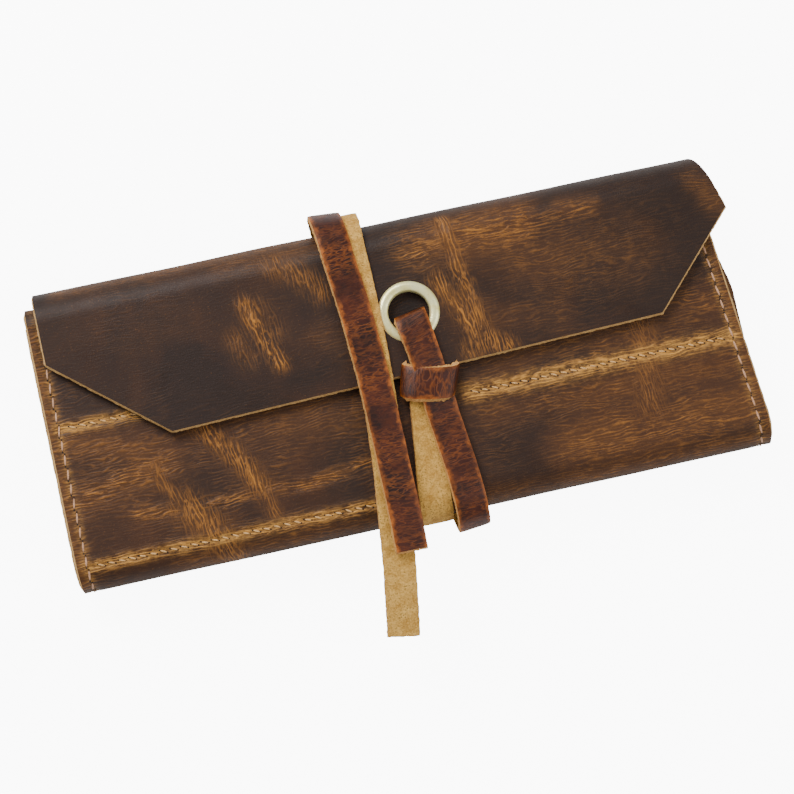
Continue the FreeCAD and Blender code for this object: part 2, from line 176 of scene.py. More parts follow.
def mesh_object(name, bm, flat_uv=True):
    """Turns a bmesh into a piece. Where flat_uv is set, its UV map is the flat pattern, in metres."""
    if flat_uv:
        layer = bm.loops.layers.uv.new("Flat")
        for face in bm.faces:
            for loop in face.loops:
                loop[layer].uv = loop.vert.co.xy
    mesh = bpy.data.meshes.new(name)
    bm.to_mesh(mesh)
    bm.free()
    piece = bpy.data.objects.new(name, mesh)
    bpy.context.scene.collection.objects.link(piece)
    return piece


def corners(piece):
    """Where a piece's points are, as rows of X, Y and Z."""
    co = np.zeros(len(piece.data.vertices) * 3)
    piece.data.vertices.foreach_get("co", co)
    return co.reshape(-1, 3)


def place(piece, co):
    """Moves a piece's points to the rows of co."""
    piece.data.vertices.foreach_set("co", np.ascontiguousarray(co, dtype=np.float32).ravel())
    piece.data.update()


def mark(piece, name, values):
    """Paints a number on each point of a piece, for its finish to read."""
    attribute = piece.data.attributes.new(name, "FLOAT", "POINT")
    attribute.data.foreach_set("value", np.asarray(values, np.float32))


def grain_noise(x, y, scale_x, scale_y, seed=0.0):
    """Smooth noise from about -1 to 1 over a flat sheet; scale is waves per metre."""
    return np.array([noise.noise(Vector((a * scale_x, b * scale_y, seed))) for a, b in zip(x, y)])


def near_line(x, y, points, width):
    """1 on a line of given points (millimetres), falling off to 0 over its width."""
    best = np.full(len(x), 1e9)
    for (xa, ya), (xb, yb) in zip(points, points[1:]):
        dx, dy = (xb - xa) * MM, (yb - ya) * MM
        t = ((x - xa * MM) * dx + (y - ya * MM) * dy) / (dx * dx + dy * dy)
        t = np.clip(t, 0, 1)
        best = np.minimum(best, np.hypot(x - xa * MM - t * dx, y - ya * MM - t * dy))
    return np.exp(-(best / (width * MM)) ** 2)


def thicken(piece, thickness, finishes, flare=0.45 * MM):
    """Gives the sheet its thickness on the flesh side: grain, flesh and cut edge each get a finish.
    The cut leans, so that the flesh side stands out a little beyond the grain side, as a knife leaves it."""
    for finish in finishes:
        piece.data.materials.append(finish)
    wall = piece.modifiers.new("thickness", "SOLIDIFY")
    wall.thickness = thickness
    wall.offset = -1
    wall.use_even_offset = False
    wall.material_offset = 1
    wall.material_offset_rim = 2
    settled = bpy.data.meshes.new_from_object(piece.evaluated_get(bpy.context.evaluated_depsgraph_get()))
    piece.modifiers.clear()
    piece.data = settled
    sharp = bmesh.new()
    sharp.from_mesh(settled)
    outward = {}
    for face in sharp.faces:
        face.smooth = True
        if face.material_index == 2:
            for vert in face.verts:
                if any(other.material_index == 1 for other in vert.link_faces):
                    outward.setdefault(vert, []).append(face.normal.copy())
    for vert, normals in outward.items():
        rag = 1 + 0.5 * noise.noise(vert.co * 900)
        vert.co += sum(normals, Vector()).normalized() * flare * rag
    for edge in sharp.edges:
        edge.smooth = len({face.material_index for face in edge.link_faces}) == 1
    sharp.to_mesh(settled)
    sharp.free()
    return piece


# the hide's folds and scuffs, on the flat front and flap: line, width, how much of it shows
SEAM_LEFT = 6.0
SEAM_LOW = -50.0
SEAM_RIGHT = -14.0
ACROSS_CREASES = [
    ([(-81.8, -4), (-73, -15), (-67, -24), (-63, -33)], 4.0, 1.0, "front"),
    ([(-93, -34), (-85, -46), (-79, -60)], 6.0, 0.85, "front"),
    ([(-102, -16), (-101, -24), (-93, -33)], 2.4, 0.6, "front"),
    ([(-63, -33), (-60, -44)], 3.0, 0.55, "front"),
    ([(100, 12), (101, -10), (96, -34)], 6.0, 0.45, "front"),
    ([(-58, 39), (-55, 27), (-49, 13)], 3.2, 1.0, "flap"),
    ([(-54, 36), (-50, 25)], 5.0, 0.4, "flap"),
    ([(-64, 26), (-61, 18)], 4.5, 0.35, "flap"),
    ([(26.5, 56), (28, 40), (32.5, 12)], 3.2, 0.95, "flap"),
    ([(19, 33), (24, 22), (30, 9), (35, 3)], 3.4, 0.95, "flap"),
    ([(27, 2), (33, 6), (41, 1)], 4.0, 1.0, "flap"),
    ([(-44, 53), (-34, 46), (-27, 38)], 5.0, 0.55, "flap"),
]
ALONG_CREASES = [
    ([(-112, -33), (-91, -36), (-67, -35), (-44, -36), (-19, -33)], 2.4, 0.9, "front"),
    ([(-135, -23), (-116, -19), (-98, -15)], 3.5, 0.5, "front"),
    ([(12, 47), (40, 49), (58, 47)], 7.0, 0.55, "flap"),
    ([(66, 46), (84, 50)], 4.0, 0.35, "flap"),
]
WARM_PATCHES = [
    ([(-135, -2), (-108, -8)], 9.0, 0.55, "front"),
    ([(-135, -24), (-98, -16)], 8.0, 0.48, "front"),
    ([(-60, -6), (-20, -12)], 10.0, 0.40, "front"),
    ([(40, -2), (132, 2)], 7.0, 0.45, "front"),
    ([(34, -24), (132, -24)], 6.0, 0.45, "front"),
    ([(60, -44), (138, -42)], 9.0, 0.65, "front"),
    ([(102, 12), (98, -34)], 6.0, 0.45, "front"),
    ([(-100, -58), (138, -58)], 5.0, 0.55, "front"),
    ([(-140, 60), (-140, -60)], 4.5, 0.70, "front"),
    ([(140, 60), (140, -60)], 3.5, 0.60, "front"),
    ([(16, 48), (56, 48)], 10.0, 0.75, "flap"),
    ([(-130, 63), (-20, 63)], 4.5, 0.55, "flap"),
    ([(-64, 57), (-26, 57)], 5.0, 0.40, "flap"),
    ([(74, 50), (86, 49)], 5.0, 0.50, "flap"),
    ([(134, 50), (137, 40)], 6.0, 0.50, "flap"),
    ([(56, 34), (96, 28)], 16.0, 0.40, "flap"),
    ([(30, 16), (62, 10)], 9.0, 0.30, "flap"),
    ([(-30, 20), (-14, 4)], 7.0, 0.25, "flap"),
]


# the pocket dividers sewn through a panel, in millimetres: height, from x, to x, the ridge's width
SEAM_LINES = [(SEAM_LEFT, -136, 7, 2.1), (SEAM_LOW, -136, 5, 2.1), (SEAM_RIGHT, 26, 136, 3.2)]
SEAM_VALLEY_WIDTH = 1.3
EDGE_INSET = 4 * MM
EDGE_GROOVE = 1.6 * MM
# how far the leather waves, ripples and puckers, in millimetres
SLOW_WAVE = 0.35
RIPPLE_ALONG = 0.34
RIPPLE_ACROSS = 0.42
SEAM_RIDGE = 0.55
SEAM_PUCKER = 0.55
SEAM_VALLEY = 1.05
EDGE_DIP = 0.35
EDGE_PUCKER = 0.12
HIGHEST = 0.8
# painted shade on the front under the grommet's hole, where the flap shades it: its line and width, in
# millimetres
HOLE_SHADE_LINE = [(9, 22.4), (9, 22.6)]
HOLE_SHADE_WIDTH = 9.0


def worn_places(table, face, x, y):
    """How much of one kind of wear shows at each point of a face, from 0 to 1."""
    shown = np.zeros(len(x))
    for points, width, strength, where in table:
        if where == face:
            shown = np.maximum(shown, strength * near_line(x, y, points, width))
    return shown


def work_hide(piece, face):
    """Rolls a flat stretch of hide up, with its puckered seams, creases and scuffs."""
    flat = corners(piece)
    x, s = flat[:, 0], flat[:, 1]
    y = plan_y(s)
    across = worn_places(ACROSS_CREASES, face, x, y)
    along = worn_places(ALONG_CREASES, face, x, y)
    warm = worn_places(WARM_PATCHES, face, x, y)
    seam = np.zeros(len(x))
    valley = np.zeros(len(x))
    for height, x0, x1, width in SEAM_LINES if face != "flap" else []:
        line = [(x0, height), (x1, height)]
        seam = np.maximum(seam, near_line(x, y, line, width))
        valley = np.maximum(valley, near_line(x, y, line, SEAM_VALLEY_WIDTH))
    edge = np.zeros(len(x))
    if face != "flap":
        inset = HALF - np.abs(x)
        edge = np.exp(-((inset - EDGE_INSET) / EDGE_GROOVE) ** 2)
    slow = grain_noise(x, s, 22, 30, 3.1)
    ripple_along = grain_noise(x, s, 70, 420, 5.7)
    ripple_across = grain_noise(x + 0.35 * y, y - 0.9 * x, 420, 90, 9.3)
    pucker = grain_noise(x + 0.6 * s, s, 300, 170, 2.2)
    lift = SLOW_WAVE * slow
    lift += RIPPLE_ALONG * along * ripple_along + RIPPLE_ACROSS * across * ripple_across
    lift += seam * (SEAM_RIDGE + SEAM_PUCKER * pucker) - SEAM_VALLEY * valley
    lift += edge * (-EDGE_DIP + EDGE_PUCKER * pucker)
    lift = np.minimum(lift, HIGHEST)
    ys, zs, heading = on_route(HIDE_ROUTE, s)
    outward_y, outward_z = np.sin(heading), -np.cos(heading)
    xs = hide_x(x, s)
    placed = np.stack([xs, ys + outward_y * lift * MM, zs + outward_z * lift * MM], axis=1)
    mark(piece, "along", np.clip(along + 0.75 * seam, 0, 1))
    mark(piece, "across", np.clip(across, 0, 1))
    mark(piece, "warm", warm)
    # painted shade: a dark spot on the front under the grommet's hole stands in for the flap's shadow there
    hole_shade_mask = near_line(x, y, HOLE_SHADE_LINE, HOLE_SHADE_WIDTH)
    mark(piece, "painted_hole_shade", hole_shade_mask if face == "front" else np.zeros(len(x)))
    mark(piece, "calm", np.full(len(x), 1.0 if face == "flap" else 0.0))
    mark(piece, "seam", np.clip(seam * 0.9 + edge * 0.35, 0, 1))
    place(piece, placed)
    return piece


# the hide's grain: dark wax-filled leather that goes orange-tan where it is bent or scuffed
WAX_DARK = (0.0165, 0.0062, 0.0031)
WAX_BROWN = (0.0500, 0.0165, 0.0046)
PULLED_UP = (0.440, 0.172, 0.026)
PULLED_PALE = (0.760, 0.390, 0.085)
FLESH_DARK = (0.20, 0.105, 0.040)
FLESH_TAN = (0.42, 0.26, 0.105)


# the spacing of the bands of Blender's wave texture at a scale of 1
WAVE_BAND = 2 * math.pi / 20


class Finish:
    """A node tree being built, with short ways to add the nodes that the leathers share."""

    def __init__(self, name):
        self.material = bpy.data.materials.new(name)
        self.material.use_nodes = True
        self.tree = self.material.node_tree
        self.shader = self.tree.nodes["Principled BSDF"]

    def node(self, kind, **settings):
        made = self.tree.nodes.new(kind)
        for key, value in settings.items():
            setattr(made, key, value)
        return made

    def feed(self, socket, value):
        if isinstance(value, bpy.types.NodeSocket):
            self.tree.links.new(value, socket)
        elif hasattr(value, "__len__") and len(value) == 3 and socket.type == "RGBA":
            socket.default_value = (*value, 1)
        else:
            socket.default_value = value

    def flat(self):
        return self.node("ShaderNodeUVMap", uv_map="Flat").outputs["UV"]

    def place(self):
        return self.node("ShaderNodeTexCoord").outputs["Object"]

    def turned(self, vector, scale=(1, 1, 1), degrees=0):
        made = self.node("ShaderNodeMapping")
        self.feed(made.inputs["Vector"], vector)
        made.inputs["Scale"].default_value = scale
        made.inputs["Rotation"].default_value = (0, 0, math.radians(degrees))
        return made.outputs["Vector"]

    def cloud(self, vector, scale, detail=3, rough=0.55, warp=0.0):
        made = self.node("ShaderNodeTexNoise")
        self.feed(made.inputs["Vector"], vector)
        self.feed(made.inputs["Scale"], scale)
        self.feed(made.inputs["Detail"], detail)
        self.feed(made.inputs["Roughness"], rough)
        self.feed(made.inputs["Distortion"], warp)
        return made.outputs["Fac"]

    def cells(self, vector, scale, feature="DISTANCE_TO_EDGE"):
        made = self.node("ShaderNodeTexVoronoi", feature=feature)
        self.feed(made.inputs["Vector"], vector)
        self.feed(made.inputs["Scale"], scale)
        return made.outputs["Distance"]

    def calc(self, operation, a, b=0.0):
        made = self.node("ShaderNodeMath", operation=operation)
        for socket, value in zip(made.inputs, (a, b)):
            self.feed(socket, value)
        return made.outputs[0]

    def between(self, value, low, high, to_low=0.0, to_high=1.0):
        made = self.node("ShaderNodeMapRange", clamp=True)
        for socket, number in zip(made.inputs, (value, low, high, to_low, to_high)):
            self.feed(socket, number)
        return made.outputs[0]

    def blend(self, share, a, b):
        made = self.node("ShaderNodeMix", data_type="RGBA")
        self.feed(made.inputs[0], share)
        self.feed(made.inputs[6], a)
        self.feed(made.inputs[7], b)
        return made.outputs[2]

    def painted(self, name):
        return self.node("ShaderNodeAttribute", attribute_name=name).outputs["Fac"]

    def bump(self, height, strength, distance):
        made = self.node("ShaderNodeBump")
        self.feed(made.inputs["Height"], height)
        made.inputs["Strength"].default_value = strength
        made.inputs["Distance"].default_value = distance
        return made.outputs["Normal"]

    def thread_lines(self, vector, scale, width):
        """Thin wandering lines: where a smooth noise crosses its middle."""
        wave = self.cloud(vector, scale, 1.5, 0.5, 0.18)
        off = self.calc("ABSOLUTE", self.calc("SUBTRACT", wave, 0.5))
        return self.between(off, 0.0, width, 1.0, 0.0)

    def wrinkles(self, vector, along_x, spacing, sway, thin):
        """Thin broken wrinkles side by side, wandering by sway; spacing is in metres."""
        made = self.node("ShaderNodeTexWave", bands_direction="Y" if along_x else "X")
        self.feed(made.inputs["Vector"], vector)
        made.inputs["Scale"].default_value = WAVE_BAND / spacing
        made.inputs["Distortion"].default_value = sway
        made.inputs["Detail"].default_value = 3.0
        made.inputs["Detail Scale"].default_value = 0.24
        made.inputs["Detail Roughness"].default_value = 0.66
        breaks = self.between(self.cloud(vector, 300, 3, 0.65), 0.40, 0.60, 0.06, 1.0)
        return self.calc("MULTIPLY", self.between(made.outputs["Fac"], 1 - thin, 0.97), breaks)


def pull_up_leather(name, dark, brown, pulled, pale, gloss=0.46):
    """Waxed leather: brown clouds, fine creases along and across, and scuffs where it was bent."""
    f = Finish(name)
    flat = f.flat()
    along_way = f.turned(flat, (0.14, 1.0, 1.0))
    across_way = f.turned(flat, (1.0, 0.16, 1.0), 22)
    clouds = f.cloud(flat, 15, 5, 0.62, 0.6)
    warm = f.painted("warm")
    calm = f.painted("calm")
    warmth = f.calc("ADD", f.between(clouds, 0.43, 0.78), f.between(calm, 0, 1, 0.15, -0.10))
    warmth = f.calc("ADD", warmth, f.calc("MULTIPLY", warm, 0.95))
    body = f.blend(warmth, dark, brown)
    mottle = f.cloud(flat, 230, 4, 0.7)
    soft = f.cloud(f.turned(flat, (0.5, 1, 1)), 70, 3, 0.6)
    speck = f.cloud(flat, 1100, 3, 0.7)
    worn_along = f.painted("along")
    worn_across = f.painted("across")
    seam = f.painted("seam")
    fine_along = f.thread_lines(along_way, 720, 0.040)
    wide_along = f.wrinkles(f.turned(flat, (0.42, 1, 1)), True, spacing=0.00150, sway=30, thin=0.40)
    fine_across = f.thread_lines(across_way, 720, 0.045)
    wide_across = f.wrinkles(f.turned(flat, (1, 0.42, 1), 22), False, spacing=0.00145, sway=26, thin=0.42)
    lines_along = f.calc("MAXIMUM", f.calc("MULTIPLY", fine_along, 0.65), wide_along)
    lines_across = f.calc("MAXIMUM", f.calc("MULTIPLY", fine_across, 0.7), wide_across)
    lines_broken = f.calc("MULTIPLY", lines_along, f.between(mottle, 0.35, 0.60, 0.45, 1.0))
    lines_broken = f.calc("MULTIPLY", lines_broken, f.between(worn_across, 0.1, 0.7, 1.0, 0.15))
    everywhere = f.between(f.cloud(flat, 34, 3, 0.6), 0.40, 0.70, 0.03, 0.36)
    everywhere = f.calc("MULTIPLY", everywhere, f.between(calm, 0, 1, 1, 0.25))
    show_along = f.calc("ADD", f.calc("ADD", everywhere, worn_along), f.calc("MULTIPLY", warm, 0.55))
    show_along = f.calc("ADD", show_along, seam)
    crease_across = f.calc("MULTIPLY", lines_across, worn_across)
    crease = f.calc("MAXIMUM", f.calc("MULTIPLY", lines_broken, show_along), crease_across)
    worn = f.calc("MAXIMUM", worn_along, worn_across)
    worn = f.calc("MAXIMUM", worn, f.calc("MULTIPLY", warm, 0.7))
    haze = f.between(f.calc("MULTIPLY", f.calc("ADD", mottle, soft), 0.5), 0.36, 0.66)
    haze = f.calc("MULTIPLY", haze, worn)
    scuff = f.calc("MULTIPLY", f.between(speck, 0.60, 0.72), f.between(clouds, 0.38, 0.66, 0.06, 0.22))
    marks = f.calc("ADD", f.calc("MULTIPLY", haze, 0.30), scuff)
    share = f.calc("ADD", f.calc("MULTIPLY", crease, 0.90), marks)
    color = f.blend(f.between(share, 0.0, 1.0, 0.0, 0.95), body, pulled)
    gleam = f.calc("ADD", f.calc("MULTIPLY", lines_along, 0.55), f.between(mottle, 0.40, 0.62, 0.05, 0.45))
    color = f.blend(f.calc("MULTIPLY", seam, gleam), color, pale)
    # painted shade: the front darkens to near black under the grommet's hole, as if shaded by the flap
    color = f.blend(f.calc("MULTIPLY", f.painted("painted_hole_shade"), 0.65), color, [c * 0.15 for c in dark])
    f.feed(f.shader.inputs["Base Color"], color)
    rough = f.between(f.cloud(flat, 60, 4, 0.6), 0.3, 0.7, gloss - 0.05, gloss + 0.12)
    f.feed(f.shader.inputs["Roughness"], rough)
    f.shader.inputs["Specular IOR Level"].default_value = 0.28
    pores = f.cells(flat, 1500)
    height = f.calc("MULTIPLY", f.between(pores, 0.0, 0.35), 0.16)
    height = f.calc("ADD", height, f.calc("MULTIPLY", speck, 0.25))
    height = f.calc("ADD", height, f.calc("MULTIPLY", crease, 1.2))
    height = f.calc("ADD", height, f.calc("MULTIPLY", lines_along, 0.10))
    f.feed(f.shader.inputs["Normal"], f.bump(height, 0.5, 0.0003))
    return f.material


def suede(name, low, high):
    """The flesh side: matt, with a short speckled nap."""
    f = Finish(name)
    place = f.place()
    fibre = f.cloud(place, 1500, 3, 0.75)
    patch = f.cloud(place, 260, 4, 0.7)
    speckle = f.cells(place, 950, "F1")
    mix = f.calc("ADD", f.calc("MULTIPLY", fibre, 0.5), f.calc("MULTIPLY", patch, 0.5))
    color = f.blend(f.between(mix, 0.40, 0.60), low, high)
    pits = f.between(speckle, 0.05, 0.38, 0.9, 0.0)
    color = f.blend(f.calc("MULTIPLY", pits, f.between(patch, 0.42, 0.55)), color, [c * 0.22 for c in low])
    f.feed(f.shader.inputs["Base Color"], color)
    f.shader.inputs["Roughness"].default_value = 0.95
    f.shader.inputs["Specular IOR Level"].default_value = 0.15
    f.shader.inputs["Sheen Weight"].default_value = 0.08
    f.shader.inputs["Sheen Roughness"].default_value = 0.5
    f.feed(f.shader.inputs["Normal"], f.bump(mix, 0.8, 0.0006))
    return f.material


def cut_edge(name, low, high):
    """A knife-cut edge of leather: raw fibres, in streaks of a darker and a lighter tone."""
    f = Finish(name)
    place = f.place()
    fibre = f.cloud(f.turned(place, (1, 1, 2.5)), 1100, 4, 0.75)
    color = f.blend(f.between(fibre, 0.36, 0.66), low, high)
    f.feed(f.shader.inputs["Base Color"], color)
    f.shader.inputs["Roughness"].default_value = 0.85
    f.shader.inputs["Specular IOR Level"].default_value = 0.2
    f.feed(f.shader.inputs["Normal"], f.bump(fibre, 0.7, 0.0005))
    return f.material


hide_grain = pull_up_leather("hide_grain", WAX_DARK, WAX_BROWN, PULLED_UP, PULLED_PALE)
hide_flesh = suede("hide_flesh", FLESH_DARK, FLESH_TAN)
hide_edge = cut_edge("hide_edge", (0.42, 0.225, 0.070), (0.82, 0.52, 0.21))
HIDE_FINISHES = [hide_grain, hide_flesh, hide_edge]


def hide_piece(name, face, span, cell, nodes):
    """A stretch of the hide between two distances along it, cut, rolled up and finished."""
    bm = sheet_grid(name, (-HALF, HALF), span, cell)
    piece = work_hide(mesh_object(name, bm), face)
    thicken(piece, LEATHER, HIDE_FINISHES, 0.7 * MM)
    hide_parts(*nodes)
    return piece


hide_front = hide_piece("hide_front", "front", (S_FRONT, S_BACK), 1.1 * MM,
                        ["front_panel", "bottom_fold"])
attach(hide_front, "roll")
hide_inner = hide_piece("hide_inner", "inner", (S_INNER_END, S_FRONT), 2.5 * MM,
                        ["inner_panel", "inner_fold"])
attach(hide_inner, "roll")
hide_back = hide_piece("hide_back", "back", (S_BACK, S_TOP_MIDDLE), 1.6 * MM, ["back_panel"])
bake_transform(hide_back)

# the flap: its corners are cut off at a slant, and its neck at the right is narrower than its ear
flap_sheet = sheet_grid("hide_flap", (-HALF, HALF), (S_TOP_MIDDLE, S_FLAP_END), 1.05 * MM)


def on_pattern(x, y):
    """A flap point of the closed roll, as a place on the flat pattern."""
    return Vector((x - ASKEW, S_FLAP + TOP_Y - y, 0))


left_side = on_pattern(flap_low.x, FLAP_SIDE_LEFT)
left_corner = on_pattern(FLAP_CORNER_LEFT.x, FLAP_CORNER_LEFT.y)
right_corner = on_pattern(FLAP_CORNER_RIGHT.x, FLAP_CORNER_RIGHT.y)
right_side = on_pattern(flap_high.x, FLAP_SIDE_RIGHT)
trim(flap_sheet, left_corner, left_side)
trim(flap_sheet, right_corner, left_corner)
trim(flap_sheet, right_side, right_corner)
GROMMET_LOW, GROMMET_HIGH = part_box("grommet_face")
GROMMET = (GROMMET_LOW + GROMMET_HIGH) / 2
GROMMET_R = (GROMMET_HIGH.x - GROMMET_LOW.x) / 2
hole = on_pattern(GROMMET.x, GROMMET.y)
HOLE_R = 0.78 * GROMMET_R
inside = [v for v in flap_sheet.verts if (v.co - hole).length < HOLE_R]
bmesh.ops.delete(flap_sheet, geom=inside, context="VERTS")
for vert in flap_sheet.verts:
    away = vert.co - hole
    if away.length < HOLE_R + 1.2 * MM and vert.is_boundary:
        vert.co = hole + away.normalized() * HOLE_R
FLAP_AREA = sum(face.calc_area() for face in flap_sheet.faces)
hide_flap = work_hide(mesh_object("hide_flap", flap_sheet), "flap")
thicken(hide_flap, LEATHER, HIDE_FINISHES, 0.6 * MM)
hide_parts("flap_panel", "top_fold")
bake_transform(hide_flap)


# ---- Pockets: lighter leather sewn inside each end -------------------------------------
# The pocket leather follows the hide on its flesh side. It is sewn down along the side edge and
# along the dividers, stands off between them, and is open at its mouth, towards the middle.
POCKET = 1.2 * MM
POCKET_ROOM = 4.3 * MM
DIVIDER_REACH = 11 * MM
SIDE_REACH = 32 * MM
SIDE_SEWN = 6 * MM
pocket_grain = pull_up_leather(
    "pocket_grain", (0.085, 0.034, 0.012), (0.16, 0.068, 0.022), (0.42, 0.18, 0.045), (0.62, 0.31, 0.08),
    gloss=0.55)
pocket_flesh = suede("pocket_flesh", (0.24, 0.13, 0.052), (0.44, 0.27, 0.115))
pocket_finishes = [pocket_flesh, pocket_grain, hide_edge]


def pocket_sheet(name, side, mouth, span, dividers, node_names):
    """One stretch of pocket leather; dividers are the distances along the hide where it is sewn."""
    closed = side * (HALF + 0.8 * MM)
    across = (min(closed, mouth), max(closed, mouth))
    piece = mesh_object(name, sheet_grid(name, across, span, 2.2 * MM))
    flat = corners(piece)
    x, s = flat[:, 0], flat[:, 1]
    nearest = np.min([np.abs(s - line) for line in dividers], axis=0)
    room = eased(nearest / DIVIDER_REACH)
    from_edge = eased((np.abs(x - closed) - SIDE_SEWN) / SIDE_REACH)
    in_fold = np.clip(np.minimum(np.abs(s - S_BOTTOM), np.abs(s - S_BACK)) / (6 * MM), 0, 1)
    in_fold = np.where((s > S_BOTTOM) & (s < S_BACK), 0, in_fold)
    sag = 1 + 0.12 * grain_noise(x, s, 30, 40, 8.8)
    gap = 0.15 * MM + POCKET_ROOM * room * from_edge * in_fold * np.clip(sag, 0, 1)
    ys, zs, heading = on_route(HIDE_ROUTE, s)
    depth = LEATHER + gap
    place(piece, np.stack(
        [hide_x(x, s), ys - np.sin(heading) * depth, zs + np.cos(heading) * depth], axis=1))
    for label in ("along", "across", "warm", "seam", "painted_hole_shade", "calm"):
        mark(piece, label, np.zeros(len(x)))
    thicken(piece, POCKET, pocket_finishes)
    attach(piece, "roll")
    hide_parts(*node_names)
    return piece


for side, side_name in ((-1, "left"), (1, "right")):
    low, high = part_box(side_name + "_pockets_front")
    mouth = high.x if side < 0 else low.x
    divider = (SEAM_LEFT if side < 0 else SEAM_RIGHT) * MM
    outer_lines = [
        S_FRONT + 1.6 * MM,
        S_FRONT + INNER_Y - divider,
        S_BACK + divider - BOTTOM_Y,
        S_TOP - 1.6 * MM,
    ]
    inner_lines = [S_INNER_END + 2 * MM, S_INNER_END + divider - inner_low.y, S_INNER_FOLD - 1.6 * MM]
    pocket_sheet(side_name + "_pocket_outer", side, mouth, (S_FRONT + 1 * MM, S_TOP - 1 * MM), outer_lines,
                 [side_name + "_pockets_front", side_name + "_pockets_back"])
    pocket_sheet(side_name + "_pocket_inner", side, mouth, (S_INNER_END + 2 * MM, S_INNER_FOLD - 1 * MM),
                 inner_lines, [side_name + "_pockets_inner"])


# ---- Thread: side seams and pocket dividers --------------------------------------------
# Hand-sized stitches of waxed thread. Each dips into a hole at both ends, where a near-black disc is
# painted shade, and leans a little across its seam.
EDGE_PITCH = 5.9 * MM
EDGE_STITCH = {"length": 4.7 * MM, "width": 0.95 * MM}
EDGE_LEAN = 9
DIVIDER_PITCH = 4.1 * MM
DIVIDER_STITCH = {"length": 2.9 * MM, "width": 0.85 * MM, "lean": -22}
STITCH_HEIGHT = 0.42 * MM
STITCH_SINK = 0.30 * MM


def thread_finish(name, low, high):
    """Waxed thread: twisted strands, a little dirty."""
    f = Finish(name)
    place = f.place()
    strand = f.cloud(f.turned(place, (1, 1, 1), 40), 2400, 2, 0.6)
    dirt = f.cloud(place, 120, 3, 0.6)
    color = f.blend(f.between(strand, 0.35, 0.65), low, high)
    color = f.blend(f.between(dirt, 0.5, 0.75, 0, 0.5), color, [c * 0.6 for c in low])
    f.feed(f.shader.inputs["Base Color"], color)
    f.shader.inputs["Roughness"].default_value = 0.6
    f.feed(f.shader.inputs["Normal"], f.bump(strand, 0.8, 0.0003))
    return f.material


def needle_hole_shade(name):
    """Painted shade: the near-black inside of a needle hole, as a flat dark disc where the hole's shade
    would be.
    """
    f = Finish(name)
    color = f.blend(f.cloud(f.place(), 900), (0.006, 0.003, 0.002), (0.03, 0.014, 0.008))
    f.feed(f.shader.inputs["Base Color"], color)
    f.shader.inputs["Roughness"].default_value = 0.9
    return f.material


edge_thread = thread_finish("edge_thread", (0.44, 0.225, 0.125), (0.70, 0.41, 0.25))
divider_thread = thread_finish("divider_thread", (0.52, 0.28, 0.10), (0.80, 0.50, 0.21))
hole_shade_finish = needle_hole_shade("needle_hole_shade")


def hide_frame(x, s, lift):
    """A place on the hide's grain side, lifted by so much, with its own across-along-up axes."""
    y, z, heading = [float(v) for v in on_route(HIDE_ROUTE, s)]
    up = Vector((0, math.sin(heading), -math.cos(heading)))
    along = Vector((0, math.cos(heading), math.sin(heading)))
    across = along.cross(up)
    centre = Vector((float(hide_x(np.array(x), s)), y, z)) + up * lift
    turn = Matrix((across, along, up)).transposed().to_4x4()
    return Matrix.Translation(centre) @ turn


def stitch_row(name, places, length, width, lean, finish, node):
    """A stitch at each of the places, which are (x, distance along the hide, the seam's direction in
    degrees). Each leans by lean, in degrees, and dips into a hole at both its ends."""
    bm = bmesh.new()
    for count, (x, s, seam_turn) in enumerate(places):
        jitter = noise.noise(Vector((count * 1.7, len(places) * 0.3, 4.4)))
        size = Matrix.Diagonal((width / 2, length / 2 * (1 + 0.12 * jitter), STITCH_HEIGHT, 1))
        turn = Matrix.Rotation(math.radians(seam_turn + lean * (1 + 0.5 * jitter)), 4, "Z")
        stitch_at = hide_frame(x, s, 0.08 * MM - STITCH_SINK) @ turn @ size
        made = bmesh.ops.create_uvsphere(bm, u_segments=8, v_segments=5, radius=1, matrix=stitch_at)
        for face in {f for v in made["verts"] for f in v.link_faces}:
            face.smooth = True
        for end in (-1, 1):
            dot = Matrix.Translation((0, end * (length / 2 + 0.15 * MM), 0))
            flat = Matrix.Diagonal((0.46 * width, 0.46 * width, 0.14 * MM, 1))
            # painted shade: a flat near-black disc at each end stands for the shade inside the needle hole
            hole_at = hide_frame(x, s, 0.06 * MM - STITCH_SINK) @ turn @ dot @ flat
            pit = bmesh.ops.create_uvsphere(bm, u_segments=6, v_segments=3, radius=1, matrix=hole_at)
            for face in {f for v in pit["verts"] for f in v.link_faces}:
                face.material_index = 1
    piece = mesh_object(name, bm, flat_uv=False)
    piece.data.materials.append(finish)
    piece.data.materials.append(hole_shade_finish)
    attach(piece, "roll")
    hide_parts(node)
    return piece


for side, side_name in ((-1, "left"), (1, "right")):
    count = round((S_TOP - S_FRONT) / EDGE_PITCH)
    places = [
        (side * (HALF - EDGE_INSET), S_FRONT + (k + 0.5) * (S_TOP - S_FRONT) / count, 0)
        for k in range(count)
    ]
    stitch_row(side_name + "_edge_stitches", places, **EDGE_STITCH, lean=EDGE_LEAN * side,
               finish=edge_thread, node=side_name + "_edge_stitching")
for side_name, lines in (
    ("left", [(SEAM_LEFT, -132.5, 6.0), (SEAM_LOW, -132.5, 4.0)]),
    ("right", [(SEAM_RIGHT, 26.5, 133.0)]),
):
    places = []
    for height, x0, x1 in lines:
        count = round((x1 - x0) * MM / DIVIDER_PITCH)
        for k in range(count):
            x = (x0 + (k + 0.5) * (x1 - x0) / count) * MM
            places.append((x, S_FRONT + INNER_Y - height * MM, 90))
            if height > SEAM_LOW:
                places.append((x, S_BACK + height * MM - BOTTOM_Y, 90))
    stitch_row(side_name + "_divider_stitches", places, **DIVIDER_STITCH, finish=divider_thread,
               node=side_name + "_divider_stitching")


